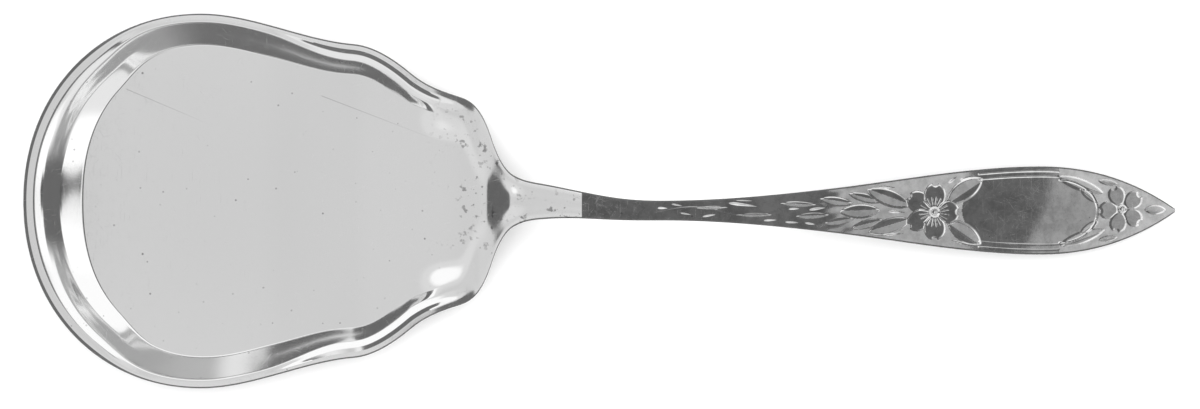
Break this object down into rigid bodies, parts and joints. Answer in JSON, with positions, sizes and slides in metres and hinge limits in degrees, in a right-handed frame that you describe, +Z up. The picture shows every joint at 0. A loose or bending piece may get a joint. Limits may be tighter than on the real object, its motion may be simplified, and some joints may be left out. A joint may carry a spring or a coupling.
{
  "type": "sugar spoon",
  "caption": "Sugar spoon with a wide waisted bowl, a slim stem and a lance-shaped handle cut with flowers and leaves, for spooning sugar.",
  "frame": {"origin": "on the table plane, under the middle of the spoon's box", "axes": "+X from the bowl towards the handle's tip, +Z up out of the bowl, +Y across the bowl by the right-hand rule"},
  "size_m": [0.152, 0.0492, 0.01],
  "materials": {
    "bowl_silver": "polished silver, finely scratched by use",
    "solder": "dull silver solder",
    "handle_silver": "polished silver, darkened in the cut ornament"
  },
  "bodies": {
    "root": {"bowl": "bowl_silver", "solder_seam": "solder", "handle": "handle_silver"}
  },
  "joints": []
}
